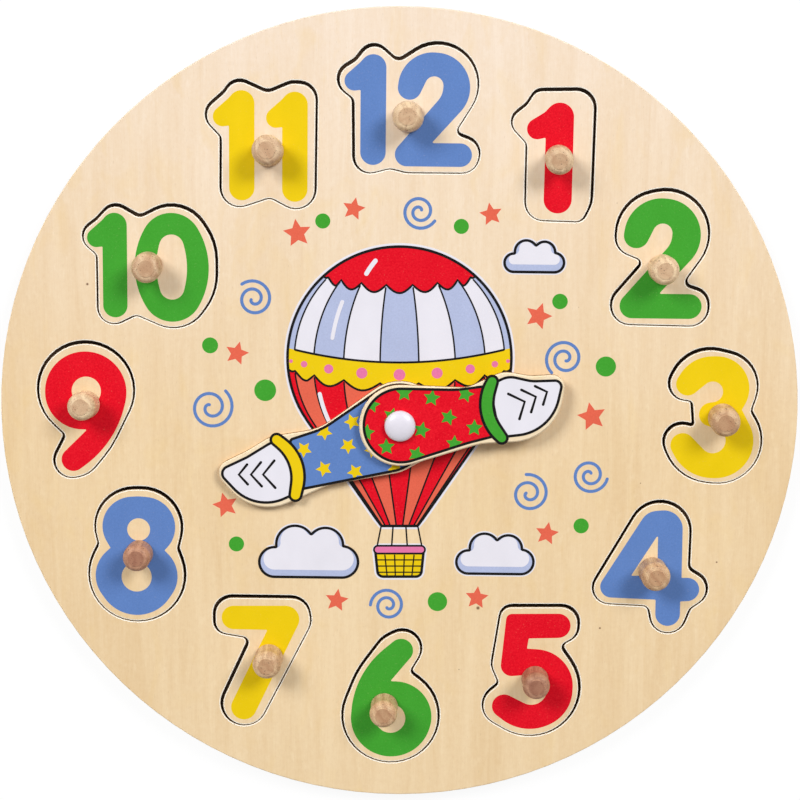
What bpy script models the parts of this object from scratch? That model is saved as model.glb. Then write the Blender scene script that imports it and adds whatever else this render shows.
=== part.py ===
# A round wooden clock puzzle. Twelve number tiles lift out of a plywood board by turned pegs,
# and two flat wooden hands turn on a plastic rivet near its middle.
import math

import bmesh
import bpy
from mathutils import Vector

for leftover in list(bpy.data.objects):
    bpy.data.objects.remove(leftover, do_unlink=True)

# Driving sizes in metres. The numerals grow with the board, so that twelve still fit round it.
BOARD_DIAMETER = 0.300
BACK_THICK = 0.003
TOP_THICK = 0.005
NUMERAL_TALL_SHARE = 0.15
HAND_THICK = 0.003
HOUR_HAND_LONG = 0.063
MINUTE_HAND_LONG = 0.071

# Fits. A saw takes the kerf out along each number's line, and the loose tile has slid a share
# of it towards 6 o'clock. FIT is the small gap left between any two pieces that meet.
KERF = 0.0008
TILE_SLID_SHARE = 0.6
FIT = 0.0003
HAND_EASE = 0.0005
FACET_MISS = 0.00006

BOARD_RADIUS = BOARD_DIAMETER / 2
NUMERAL_TALL = BOARD_DIAMETER * NUMERAL_TALL_SHARE
TOP_LOW = BACK_THICK + FIT
TOP_HIGH = TOP_LOW + TOP_THICK
TILE_SLID = KERF * TILE_SLID_SHARE

# Turned peg, glued into its tile by a tenon
PEG_TALL = 0.0130
PEG_RADIUS = 0.0057
PEG_WAIST_RADIUS = 0.0052
PEG_WAIST_UP = 0.0043
PEG_FOOT_RADIUS = 0.0055
PEG_FLAT_RADIUS = 0.0030
PEG_CROWN_TALL = 0.0034
PEG_FOOT_EASE = 0.0004
TENON_RADIUS = 0.0030
TENON_EASE = 0.0005
TENON_LONG = TOP_THICK
PEG_CROWN_STEPS = 4
PEG_TURN_STEPS = 18

# White plastic rivet that holds the hands, with its cap sunk into the back
PIVOT_X = 0.0002
PIVOT_Y = -0.0045
DOME_RADIUS = 0.0058
DOME_TALL = 0.0031
DOME_RIM_TALL = 0.0008
DOME_STEPS = 5
SHANK_RADIUS = 0.0025
SHANK_TIP_EASE = 0.0004
CAP_RADIUS = 0.0055
CAP_THICK = 0.0016
CAP_FLOOR = 0.0005
CAP_EASE = 0.0004
RIVET_TURN_STEPS = 28

MINUTE_LOW = TOP_HIGH + FIT
HOUR_LOW = MINUTE_LOW + HAND_THICK + FIT
RIVET_SEAT = HOUR_LOW + HAND_THICK + FIT
CAP_LOW = FIT
SUNK_DEEP = CAP_LOW + CAP_THICK + FIT
SHANK_END = CAP_LOW + CAP_FLOOR + FIT
PIVOT_BORE_RADIUS = SHANK_RADIUS + FIT
PEG_BORE_RADIUS = TENON_RADIUS + FIT

# Angles clockwise from 12 o'clock that the two hands show
HOUR_POINTS = math.radians(80)
MINUTE_POINTS = math.radians(254.5)

# Where each peg stands, in shares of the board's radius from its middle
PEG_SPOT_SHARES = {
    1: (0.394, 0.633),
    2: (0.653, 0.362),
    3: (0.810, -0.013),
    4: (0.643, -0.407),
    5: (0.348, -0.689),
    6: (-0.039, -0.761),
    7: (-0.335, -0.633),
    8: (-0.658, -0.361),
    9: (-0.787, 0.021),
    10: (-0.624, 0.368),
    11: (-0.323, 0.651),
    12: (0.021, 0.735),
}

# How far each loose tile lies sideways in its opening, in shares of how far it has slid down
SIDE_LEAN_SHARES = {
    1: -0.4, 2: 0.0, 3: 0.4, 4: -0.1, 5: -0.4, 6: 0.0,
    7: 0.5, 8: -0.4, 9: 0.1, 10: -0.4, 11: 0.0, 12: 0.5,
}

# The line that each tile is cut along is a belt pulled round pins. A pin is (across, up, radius)
# in shares of the numeral's height from the peg. The belt passes outside a pin of positive
# radius, and round the far side of one of negative radius, which makes a hollow in the line.
CUT_PIN_SHARES = {
    1: (
        (-0.122, -0.361, 0.153), (0.144, -0.437, 0.087), (0.053, -0.317, 0.222), (0.138, 0.404, 0.156),
        (-0.144, 0.464, 0.093), (-0.336, 0.503, -0.089), (-0.282, 0.293, 0.109), (-0.322, 0.099, -0.053),
    ),
    2: (
        (-0.256, -0.310, 0.164), (0.236, -0.330, 0.156), (0.251, -0.308, 0.141), (0.249, -0.110, -0.047),
        (0.017, 0.279, 0.367), (-0.031, 0.279, 0.357), (-0.237, 0.252, 0.152), (-0.224, 0.039, -0.040),
    ),
    3: (
        (-0.078, -0.145, 0.414), (-0.027, -0.203, 0.362), (0.298, 0.057, -0.051), (-0.007, 0.254, 0.300),
        (-0.107, 0.230, 0.347), (-0.304, 0.286, 0.146), (-0.289, 0.103, -0.033), (-0.261, -0.046, -0.018),
        (-0.331, -0.208, 0.156),
    ),
    4: (
        (-0.362, -0.150, 0.142), (-0.082, -0.366, -0.058), (0.138, -0.392, 0.153), (0.376, -0.374, -0.062),
        (0.318, -0.161, 0.147), (0.376, 0.054, -0.067), (0.056, 0.334, 0.260),
    ),
    5: (
        (-0.271, -0.239, 0.177), (-0.044, -0.086, 0.424), (0.276, 0.272, -0.042), (0.231, 0.448, 0.134),
        (0.216, 0.483, 0.151), (-0.204, 0.530, 0.104), (-0.240, 0.126, 0.133), (-0.360, -0.032, -0.039),
    ),
    6: (
        (0.053, -0.092, 0.413), (0.271, 0.308, -0.036), (0.153, 0.499, 0.163), (0.147, 0.399, 0.249),
        (0.511, -0.108, 0.844),
    ),
    7: (
        (-0.213, -0.410, 0.193), (0.187, 0.323, 0.174), (0.193, 0.361, 0.162), (-0.304, 0.374, 0.156),
        (-0.347, 0.310, 0.113), (-0.227, 0.128, -0.046),
    ),
    8: (
        (-0.027, -0.188, 0.407), (0.380, 0.041, -0.053), (0.022, 0.219, 0.338), (-0.038, 0.221, 0.336),
        (-0.407, 0.086, -0.056),
    ),
    9: (
        (-0.131, -0.483, 0.147), (-0.124, -0.374, 0.253), (-0.504, 0.094, 0.844), (0.003, 0.117, 0.402),
        (-0.231, -0.272, -0.040),
    ),
    10: (
        (-0.289, -0.350, 0.136), (-0.104, -0.486, -0.067), (0.200, -0.219, 0.300), (0.078, -0.063, 0.491),
        (0.078, 0.048, 0.491), (0.200, 0.186, 0.313), (-0.058, 0.488, -0.073), (-0.260, 0.374, 0.126),
        (-0.464, 0.439, -0.067), (-0.420, 0.241, 0.117), (-0.480, 0.063, -0.056),
    ),
    11: (
        (-0.240, -0.301, 0.158), (0.002, -0.481, -0.089), (0.222, -0.312, 0.164), (0.258, 0.414, 0.142),
        (0.216, 0.412, 0.147), (0.000, 0.588, -0.098), (-0.229, 0.443, 0.129), (-0.420, 0.532, -0.078),
        (-0.382, 0.292, 0.129), (-0.449, 0.092, -0.058),
    ),
    12: (
        (-0.313, -0.326, 0.137), (-0.151, -0.541, -0.111), (0.009, -0.283, 0.178), (0.440, -0.323, 0.142),
        (0.447, -0.306, 0.140), (0.449, -0.112, -0.042), (0.240, 0.259, 0.334), (-0.078, 0.537, -0.071),
        (-0.278, 0.452, 0.126), (-0.478, 0.512, -0.067), (-0.442, 0.301, 0.132), (-0.512, 0.112, -0.060),
    ),
}

# The hands are belts too, in shares of the hand's length from its pivot, pointing up
HOUR_PIN_SHARES = (
    (0.000, 0.000, 0.243), (0.582, 0.451, -0.389), (-0.090, 0.687, 0.308), (-0.068, 0.924, 0.076),
    (-0.336, 0.855, -0.182), (-0.050, 0.650, 0.156), (-0.314, 0.429, -0.156),
)
MINUTE_PIN_SHARES = (
    (0.000, 0.000, 0.229), (0.410, 0.459, -0.314), (-0.022, 0.665, 0.139), (0.274, 0.872, -0.202),
    (-0.013, 0.929, 0.070), (0.008, 0.727, 0.261), (-0.492, 0.442, -0.277), (-0.063, 0.076, 0.185),
)

SMOOTH_BELOW = math.radians(40)
MERGE_WITHIN = 0.00001


def new_collection(name):
    made = bpy.data.collections.new(name)
    bpy.context.scene.collection.children.link(made)
    return made


PIECES = new_collection("clock_puzzle")
CUTTERS = new_collection("cutters")


def finish(name, colour, roughness, metallic):
    made = bpy.data.materials.new(name)
    made.use_nodes = True
    shader = made.node_tree.nodes["Principled BSDF"]
    shader.inputs["Base Color"].default_value = (*colour, 1)
    shader.inputs["Roughness"].default_value = roughness
    shader.inputs["Metallic"].default_value = metallic
    made.diffuse_color = (*colour, 1)
    return made


PALE_PLY = finish("pale_plywood", (0.86, 0.71, 0.49), 0.6, 0)
BACK_PLY = finish("back_plywood", (0.80, 0.64, 0.42), 0.65, 0)
PEG_WOOD = finish("peg_wood", (0.66, 0.43, 0.25), 0.6, 0)
WHITE_PLASTIC = finish("white_plastic", (0.86, 0.84, 0.86), 0.3, 0)


def arc_steps(radius, turn):
    """Count the facets that keep an arc within FACET_MISS of true."""
    reach = max(abs(radius), FACET_MISS)
    facet = 2 * math.acos(1 - FACET_MISS / reach)
    return max(1, math.ceil(abs(turn) / facet))


def belt_round(pins, spread):
    """Return the points of a belt pulled anticlockwise round the pins, moved out by spread."""
    touches = []
    for (x, y, r), (next_x, next_y, next_r) in zip(pins, pins[1:] + pins[:1]):
        along = Vector((next_x - x, next_y - y))
        lean = (r - next_r) / along.length
        along.normalize()
        side = Vector((along.y, -along.x))
        touches.append(along * lean + side * math.sqrt(1 - lean * lean))
    points = []
    for (x, y, r), came, goes in zip(pins, touches[-1:] + touches[:-1], touches):
        start = math.atan2(came.y, came.x)
        turn = (math.atan2(goes.y, goes.x) - start) % math.tau
        if r < 0:
            turn -= math.tau
        steps = arc_steps(r, turn)
        for step in range(steps + 1):
            angle = start + turn * step / steps
            points.append((x + (r + spread) * math.cos(angle), y + (r + spread) * math.sin(angle)))
    return points


def circle(radius, middle_x, middle_y):
    steps = arc_steps(radius, math.tau)
    angles = [math.tau * step / steps for step in range(steps)]
    return [(middle_x + radius * math.cos(a), middle_y + radius * math.sin(a)) for a in angles]


def scaled(shares, length):
    return [(x * length, y * length, r * length) for x, y, r in shares]


def add_piece(name, mesh, material, place):
    piece = bpy.data.objects.new(name, mesh)
    piece.location = place
    mesh.materials.clear()
    mesh.materials.append(material)
    PIECES.objects.link(piece)
    return piece


def sawn_sheet(name, outline, holes, thick, ease, material, place):
    """Make a flat piece standing on its place, its sharp edges taken off by ease."""
    drawing = bpy.data.curves.new(name + "_drawing", "CURVE")
    drawing.dimensions = "2D"
    drawing.fill_mode = "BOTH"
    drawing.bevel_depth = ease
    drawing.bevel_resolution = 0
    drawing.offset = -ease
    drawing.extrude = thick / 2 - ease
    for ring in [outline] + [hole[::-1] for hole in holes]:
        spline = drawing.splines.new("POLY")
        spline.points.add(len(ring) - 1)
        for point, (x, y) in zip(spline.points, ring):
            point.co = (x, y, 0, 1)
        spline.use_cyclic_u = True
    drawn = bpy.data.objects.new(name + "_drawing", drawing)
    PIECES.objects.link(drawn)
    bpy.context.view_layer.update()
    evaluated = drawn.evaluated_get(bpy.context.evaluated_depsgraph_get())
    mesh = bpy.data.meshes.new_from_object(evaluated)
    mesh.name = name
    bpy.data.objects.remove(drawn, do_unlink=True)
    shape = bmesh.new()
    shape.from_mesh(mesh)
    bmesh.ops.remove_doubles(shape, verts=shape.verts, dist=MERGE_WITHIN)
    bmesh.ops.translate(shape, verts=shape.verts, vec=(0, 0, thick / 2))
    bmesh.ops.recalc_face_normals(shape, faces=shape.faces)
    shape.to_mesh(mesh)
    shape.free()
    for face in mesh.polygons:
        face.use_smooth = True
    mesh.set_sharp_from_angle(angle=SMOOTH_BELOW)
    return add_piece(name, mesh, material, place)


def turned(name, profile, steps, material, place):
    """Spin a profile, listed from the top down its outer side, about the upright through place."""
    mesh = bpy.data.meshes.new(name)
    rungs = [(index, index + 1) for index in range(len(profile) - 1)]
    mesh.from_pydata([(r, 0, z) for r, z in profile], rungs, [])
    piece = add_piece(name, mesh, material, place)
    lathe = piece.modifiers.new("lathe", "SCREW")
    lathe.steps = steps
    lathe.render_steps = steps
    lathe.use_merge_vertices = True
    lathe.merge_threshold = MERGE_WITHIN
    lathe.use_smooth_shade = True
    return piece


def bore(piece, name, radius, low, high, place):
    """Cut a round hole from low to high above the board's underside."""
    shape = bmesh.new()
    bmesh.ops.create_cone(
        shape, cap_ends=True, segments=arc_steps(radius, math.tau), radius1=radius, radius2=radius,
        depth=high - low,
    )
    mesh = bpy.data.meshes.new(name)
    shape.to_mesh(mesh)
    shape.free()
    cutter = bpy.data.objects.new(name, mesh)
    cutter.location = (place[0], place[1], (low + high) / 2)
    cutter.hide_render = True
    cutter.display_type = "WIRE"
    CUTTERS.objects.link(cutter)
    cut = piece.modifiers.new(name, "BOOLEAN")
    cut.operation = "DIFFERENCE"
    cut.solver = "EXACT"
    cut.object = cutter


def spot(number):
    across, up = PEG_SPOT_SHARES[number]
    return (across * BOARD_RADIUS, up * BOARD_RADIUS)


# The board is two plies glued face to face. The upper one is cut right through for every tile,
# and the lower one closes the openings and takes the rivet's cap in a sunk hole.
openings = []
for number, shares in CUT_PIN_SHARES.items():
    spot_x, spot_y = spot(number)
    line = belt_round(scaled(shares, NUMERAL_TALL), KERF / 2)
    openings.append([(spot_x + x, spot_y + y) for x, y in line])

rim = circle(BOARD_RADIUS, 0, 0)
pivot_hole = circle(PIVOT_BORE_RADIUS, PIVOT_X, PIVOT_Y)
back_board = sawn_sheet("back_board", rim, [pivot_hole], BACK_THICK, 0, BACK_PLY, (0, 0, 0))
bore(back_board, "cap_sinking", CAP_RADIUS + FIT, -SUNK_DEEP, SUNK_DEEP, (PIVOT_X, PIVOT_Y))
sawn_sheet("top_board", rim, openings + [pivot_hole], TOP_THICK, 0, PALE_PLY, (0, 0, TOP_LOW))

# Every tile is what its opening gave up, less the kerf, with a peg glued into a bored hole
peg_profile = [(0, PEG_TALL)]
for step in range(PEG_CROWN_STEPS + 1):
    angle = math.pi / 2 * step / PEG_CROWN_STEPS
    peg_profile.append((
        PEG_FLAT_RADIUS + (PEG_RADIUS - PEG_FLAT_RADIUS) * math.sin(angle),
        PEG_TALL - PEG_CROWN_TALL * (1 - math.cos(angle)),
    ))
peg_profile += [
    (PEG_WAIST_RADIUS, PEG_WAIST_UP),
    (PEG_FOOT_RADIUS, PEG_FOOT_EASE),
    (PEG_FOOT_RADIUS - PEG_FOOT_EASE, 0),
    (TENON_RADIUS, 0),
    (TENON_RADIUS, TENON_EASE - TENON_LONG),
    (TENON_RADIUS - TENON_EASE, -TENON_LONG),
    (0, -TENON_LONG),
]

for number, shares in CUT_PIN_SHARES.items():
    spot_x, spot_y = spot(number)
    tile_x = spot_x + SIDE_LEAN_SHARES[number] * TILE_SLID
    tile_y = spot_y - TILE_SLID
    outline = belt_round(scaled(shares, NUMERAL_TALL), -KERF / 2)
    peg_hole = circle(PEG_BORE_RADIUS, 0, 0)
    sawn_sheet(
        f"number_{number}_tile", outline, [peg_hole], TOP_THICK, 0, PALE_PLY, (tile_x, tile_y, TOP_LOW),
    )
    turned(
        f"number_{number}_peg", peg_profile, PEG_TURN_STEPS, PEG_WOOD, (tile_x, tile_y, TOP_HIGH + FIT),
    )

# The hands are flat paddles on one rivet, the minute hand underneath
for name, shares, long, low, points in (
    ("minute_hand", MINUTE_PIN_SHARES, MINUTE_HAND_LONG, MINUTE_LOW, MINUTE_POINTS),
    ("hour_hand", HOUR_PIN_SHARES, HOUR_HAND_LONG, HOUR_LOW, HOUR_POINTS),
):
    outline = belt_round(scaled(shares, long), 0)
    bored = [circle(PIVOT_BORE_RADIUS, 0, 0)]
    hand = sawn_sheet(name, outline, bored, HAND_THICK, HAND_EASE, PALE_PLY, (PIVOT_X, PIVOT_Y, low))
    hand.rotation_euler.z = -points

# The rivet's dome rests over the upper hand, and its shank ends inside the cap
rivet_profile = []
for step in range(DOME_STEPS + 1):
    angle = math.pi / 2 * step / DOME_STEPS
    rivet_profile.append((
        DOME_RADIUS * math.sin(angle),
        DOME_RIM_TALL + (DOME_TALL - DOME_RIM_TALL) * math.cos(angle),
    ))
shank_foot = SHANK_END - RIVET_SEAT
rivet_profile += [
    (DOME_RADIUS, 0),
    (SHANK_RADIUS, 0),
    (SHANK_RADIUS, shank_foot + SHANK_TIP_EASE),
    (SHANK_RADIUS - SHANK_TIP_EASE, shank_foot),
    (0, shank_foot),
]
turned("pivot_rivet", rivet_profile, RIVET_TURN_STEPS, WHITE_PLASTIC, (PIVOT_X, PIVOT_Y, RIVET_SEAT))

cap_profile = [
    (0, CAP_FLOOR),
    (SHANK_RADIUS + FIT, CAP_FLOOR),
    (SHANK_RADIUS + FIT, CAP_THICK),
    (CAP_RADIUS, CAP_THICK),
    (CAP_RADIUS, CAP_EASE),
    (CAP_RADIUS - CAP_EASE, 0),
    (0, 0),
]
turned("rivet_cap", cap_profile, RIVET_TURN_STEPS, WHITE_PLASTIC, (PIVOT_X, PIVOT_Y, CAP_LOW))
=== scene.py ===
# %% [markdown]
# # A wooden clock puzzle
# The object is a round plywood board with twelve loose number tiles, a turned peg on each tile
# and two flat hands on a plastic rivet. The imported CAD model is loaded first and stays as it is.
# Everything below dresses it: eased edges, turned pegs, printed paint, materials and light.

# %% Load the frame
import math

import bpy
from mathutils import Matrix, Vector


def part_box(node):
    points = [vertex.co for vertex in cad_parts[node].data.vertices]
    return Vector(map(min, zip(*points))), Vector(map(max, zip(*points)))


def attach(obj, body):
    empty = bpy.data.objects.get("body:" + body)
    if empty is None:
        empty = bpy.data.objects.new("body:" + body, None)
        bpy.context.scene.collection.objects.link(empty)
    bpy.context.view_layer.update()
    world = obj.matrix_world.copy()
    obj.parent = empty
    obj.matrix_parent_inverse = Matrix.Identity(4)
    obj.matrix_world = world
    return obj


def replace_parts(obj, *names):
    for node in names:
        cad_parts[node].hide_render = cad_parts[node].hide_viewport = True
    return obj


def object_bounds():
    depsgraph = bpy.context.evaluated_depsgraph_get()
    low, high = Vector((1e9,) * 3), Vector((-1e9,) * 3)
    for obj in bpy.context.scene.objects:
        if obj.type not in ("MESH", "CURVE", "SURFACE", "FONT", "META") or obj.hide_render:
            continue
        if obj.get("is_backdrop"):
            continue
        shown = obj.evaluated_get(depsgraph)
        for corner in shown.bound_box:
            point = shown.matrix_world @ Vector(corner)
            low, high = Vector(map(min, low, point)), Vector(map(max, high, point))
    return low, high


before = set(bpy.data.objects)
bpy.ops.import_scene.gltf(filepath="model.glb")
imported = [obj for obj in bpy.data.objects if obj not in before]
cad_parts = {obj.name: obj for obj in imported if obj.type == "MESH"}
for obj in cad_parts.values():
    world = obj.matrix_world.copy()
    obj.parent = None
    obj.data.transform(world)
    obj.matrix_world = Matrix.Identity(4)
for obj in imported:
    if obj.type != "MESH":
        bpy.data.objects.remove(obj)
cad_low, cad_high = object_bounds()
MM = 0.001
print("CAD box in mm:", [round(side / MM, 1) for side in cad_high - cad_low])

# %% [markdown]
# ## Heights and places
# The frame's boxes say how high each layer lies, so nothing here is fitted by eye. Paint goes on
# the top of a sheet, a peg on the top of its tile, and both hands turn about the rivet.

# %% Read the levels from the frame
board_low, board_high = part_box("top_board")
BOARD_TOP = board_high.z
BOARD_THICK = board_high.z - board_low.z
RIM = board_high.x
rivet_low, rivet_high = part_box("pivot_rivet")
PIVOT = Vector(((rivet_low.x + rivet_high.x) / 2, (rivet_low.y + rivet_high.y) / 2, 0))
MINUTE_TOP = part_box("minute_hand")[1].z
HOUR_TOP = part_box("hour_hand")[1].z
HOUR_POINTS = math.radians(80)
MINUTE_POINTS = math.radians(254.5)
print("board top", round(BOARD_TOP / MM, 2), "rivet top", round(rivet_high.z / MM, 2))

# %% [markdown]
# ## Camera
# The photograph looks almost straight down on the board from a little towards the 12. A long lens
# at 0.75 m gives the same slight lean of the pegs. The camera hangs level over the board and
# is tipped about X, which keeps the 12 at the top of the picture.

# %% Hang the camera
CAMERA_PLACE = Vector((0.0002, 0.1109, 0.7501))
CAMERA_AIM = Vector((0.0002, 0.0043, BOARD_TOP))
LENS_MM = 89.6
SENSOR_MM = 36
gaze = CAMERA_AIM - CAMERA_PLACE
lens = bpy.data.cameras.new("camera")
lens.lens = LENS_MM
lens.sensor_width = SENSOR_MM
lens.clip_start = 0.01
camera = bpy.data.objects.new("camera", lens)
camera.location = CAMERA_PLACE
camera.rotation_euler = (-math.atan2(-gaze.y, -gaze.z), 0, 0)
bpy.context.scene.collection.objects.link(camera)
bpy.context.scene.camera = camera
print("camera tips", round(math.degrees(camera.rotation_euler.x), 2), "degrees")

# %% [markdown]
# ## Sums in a shader
# A pattern such as wood is a long sum of noises. Drawn as nodes it is hard to read, so a small
# class wraps a socket: adding or multiplying two wires puts in the Math node and links it. Its
# add method brings in any other kind of node, with its settings first and then its inputs.

# %% Wrap a socket so that Python can do sums with it
class Wire:
    """A socket of a material. Sums of wires and numbers become Math nodes."""

    def __init__(self, socket):
        self.socket = socket

    def add(self, kind, settings, inputs, output=0):
        node = self.socket.id_data.nodes.new(kind)
        for setting, value in settings.items():
            setattr(node, setting, value)
        for name, value in inputs.items():
            if isinstance(value, Wire):
                self.socket.id_data.links.new(value.socket, node.inputs[name])
            else:
                node.inputs[name].default_value = value
        return Wire(node.outputs[output])

    def math(self, operation, other=0.0, swapped=False):
        first, second = (other, self) if swapped else (self, other)
        return self.add("ShaderNodeMath", {"operation": operation}, {0: first, 1: second})

    def __add__(self, other):
        return self.math("ADD", other)

    def __sub__(self, other):
        return self.math("SUBTRACT", other)

    def __rsub__(self, other):
        return self.math("SUBTRACT", other, swapped=True)

    def __mul__(self, other):
        return self.math("MULTIPLY", other)

    __radd__ = __add__
    __rmul__ = __mul__

    def __truediv__(self, other):
        return self.math("DIVIDE", other)

    def clamp(self):
        settings = {"operation": "ADD", "use_clamp": True}
        return self.add("ShaderNodeMath", settings, {0: self, 1: 0.0})

    def mix(self, first, second):
        """Blend two colours, the wire being the share of the second."""
        return self.add("ShaderNodeMix", {"data_type": "RGBA"}, {0: self, 6: first, 7: second}, 2)


# %% [markdown]
# ## Starting a material
# Every finish here reads Object coordinates. The pieces keep their place in their mesh, so these
# are the board's own coordinates, and the grain runs on from the board into a loose tile, as it
# does where the tile was sawn out of the same sheet. Millimetres make the sizes easy to judge.

# %% Open a material and hand out its wires
def seen(red, green, blue):
    """Turn a screen's colour, 0 to 255, into the linear values that shaders use."""
    shares = [part / 255 for part in (red, green, blue)]
    return (*[s / 12.92 if s < 0.04 else ((s + 0.055) / 1.055) ** 2.4 for s in shares], 1)


def new_finish(name):
    """Return the material, its shader's inputs, and wires for place in mm and for the normal."""
    material = bpy.data.materials.new(name)
    material.use_nodes = True
    nodes = material.node_tree.nodes
    shader = nodes["Principled BSDF"]
    start = nodes.new("ShaderNodeTexCoord")
    metres = Wire(start.outputs["Object"])
    place = metres.add(
        "ShaderNodeVectorMath", {"operation": "SCALE"}, {0: metres, "Scale": 1 / MM})
    return material, shader.inputs, place, Wire(start.outputs["Normal"])


def feed(wire, socket):
    wire.socket.id_data.links.new(wire.socket, socket)


def axis(wire, number):
    """One coordinate of a vector: 0 for x, 1 for y, 2 for z."""
    return wire.add("ShaderNodeSeparateXYZ", {}, {0: wire}, number)


def noise(place, size, detail=2.0, roughness=0.5, distortion=0.0):
    """Noise whose blobs are about size = (x, y, z) millimetres."""
    stretched = place.add(
        "ShaderNodeMapping", {}, {"Vector": place, "Scale": [1 / length for length in size]})
    return stretched.add("ShaderNodeTexNoise", {}, {
        "Vector": stretched, "Scale": 1.0, "Detail": detail, "Roughness": roughness,
        "Distortion": distortion})


def turned(place, middle, angle):
    """Measure from a middle, with the pattern's own Y lying at an angle clockwise from +Y."""
    shifted = place.add("ShaderNodeVectorMath", {"operation": "SUBTRACT"}, {
        0: place, 1: [part / MM for part in middle]})
    return shifted.add("ShaderNodeMapping", {}, {"Vector": shifted, "Rotation": (0, 0, angle)})


# %% [markdown]
# ## Light
# Each peg in the photograph throws two soft shadows, down to the left and down to the right, so
# there are two softboxes beyond the 12. Area lights make such soft shadows by their size. A plain
# world fills the rest, so that a colour renders about as it is written. The camera and mirror
# reflections see that world as white, while it lights the object with a quarter of that.

# %% Set two softboxes and the world
SOFTBOX_SIDE = 1.1
SOFTBOX_POWER = 55
SOFTBOX_PLACE = (1.66, 1.58, 2.23)
WORLD_LEVEL = 0.25


def background_rays(nodes):
    """1 for rays that show a background: from the camera, mirrored or passed through glass."""
    rays = nodes.new("ShaderNodeLightPath").outputs
    shown = Wire(rays["Is Camera Ray"]) + Wire(rays["Is Glossy Ray"])
    return (shown + Wire(rays["Is Transmission Ray"])).clamp()


for side in (-1, 1):
    glow = bpy.data.lights.new("softbox", "AREA")
    glow.size = SOFTBOX_SIDE
    glow.energy = SOFTBOX_POWER
    softbox = bpy.data.objects.new("softbox", glow)
    softbox.location = (side * SOFTBOX_PLACE[0], SOFTBOX_PLACE[1], SOFTBOX_PLACE[2])
    softbox.rotation_euler = (-softbox.location).to_track_quat("-Z", "Y").to_euler()
    bpy.context.scene.collection.objects.link(softbox)

world = bpy.data.worlds.new("room")
world.use_nodes = True
room = world.node_tree.nodes["Background"]
room.inputs["Color"].default_value = (1, 1, 1, 1)
whiter = background_rays(world.node_tree.nodes) * (1 - WORLD_LEVEL)
feed(WORLD_LEVEL + whiter, room.inputs["Strength"])
bpy.context.scene.world = world
bpy.context.scene.view_settings.view_transform = "Standard"
print("softboxes:", len(bpy.data.lights), "world level:", WORLD_LEVEL)

# %% [markdown]
# ## Plywood
# The face is a pale rotary-cut veneer: broad soft bands, fine fibres along the grain, small
# flakes and warmer clouds. Each is a noise of its own size, stretched along the grain, and their
# sum picks a tone between a pale and a dark colour. Towards the 12 the colours are painted paler
# and a little cooler, a painted sheen of the softboxes beyond the 12.

# %% Mix the veneer
CLOUD_WOOD = seen(240, 206, 142)


def veneer(place, grain, fibres, pale, dark, painted_sheen):
    """The colour of a face, with a paler, cooler pair of colours painted towards the 12 as a
    painted sheen, if one is given.
    """
    broad = noise(grain, (24, 120, 24), 2, 0.5, 0.6)
    bands = noise(grain, (5, 60, 5), 3, 0.6, 0.8)
    flakes = ((noise(grain, (2.2, 6, 2.2), 2, 0.6) - 0.6) * 5).clamp()
    mottle = noise(place, (1.7, 2.0, 1.7), 2, 0.7)
    clouds = ((noise(grain, (13, 30, 13), 3, 0.6, 1.0) - 0.52) * 3.5).clamp()
    across, along = axis(place, 0), axis(place, 1)
    # Painted sheen: towards the 12 the colours shift to a paler, cooler pair, standing in for the
    # softboxes' sheen.
    if painted_sheen:
        away_from_sheen = 0.8 - along / 170 + across.math("ABSOLUTE") / 1000 + (broad - 0.5) * 0.3
        away_from_sheen = away_from_sheen.clamp()
        pale, dark = away_from_sheen.mix(painted_sheen[0], pale), away_from_sheen.mix(painted_sheen[1], dark)
    tone = 0.22 + across * across / 85000 + (broad - 0.5) * 0.55 + (bands - 0.5) * 0.9
    tone = tone + (fibres - 0.5) * 0.5 + (mottle - 0.5) * 0.5 - flakes * 0.3
    return (clouds * 0.4).mix(tone.clamp().mix(pale, dark), CLOUD_WOOD)


# %% [markdown]
# Dark marks lie over the veneer: short pores along the grain, sparse specks from a Voronoi
# pattern, most of whose cells are left empty, and a few tiny knots where the photograph has them.

# %% Mix the dark marks
MARK_WOOD = seen(104, 62, 32)


def dark_marks(place, grain, knots):
    """The share of a face that is marked. A knot is (x, y, radius) in mm on the board's top."""
    pores = ((noise(grain, (0.22, 2.0, 0.22), 1) - 0.7) * 8).clamp()
    cells = {"Vector": place, "Scale": 0.085, "Randomness": 1.0}
    centre_near = place.add("ShaderNodeTexVoronoi", {}, cells)
    cell_colour = place.add("ShaderNodeTexVoronoi", {}, cells, 1)
    specks = ((0.024 - centre_near) * 90).clamp() * axis(cell_colour, 0).math("GREATER_THAN", 0.55)
    marks = (pores * 0.2 + specks * 0.75).clamp()
    for x, y, radius in knots:
        away = place.add(
            "ShaderNodeVectorMath", {"operation": "DISTANCE"},
            {0: place, 1: (x, y, BOARD_TOP / MM)}, 1)
        marks = (marks + (1.3 - away / radius).clamp()).clamp()
    return marks


# %% [markdown]
# On the sawn edge the plies show as bands. Every second one is end grain, which drinks in more
# dirt and looks darker. The walls of the narrow cuts round the tiles are painted near black as
# painted shade for the deep slots that the light hardly reaches, so they read as black lines from
# above, while the outer rim keeps the colour of its plies.

# %% Mix the sawn edge
# The last colour is painted shade for the walls of the narrow cuts.
PLY_PALE, PLY_DARK, KERF_SHADE = seen(192, 146, 96), seen(92, 58, 34), seen(26, 17, 13)


def inside_rim(place):
    """1 within the board, falling to 0 in the last millimetre before its rim."""
    across, along = axis(place, 0), axis(place, 1)
    return (RIM / MM - 1 - (across * across + along * along).math("SQRT")).clamp()


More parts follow.
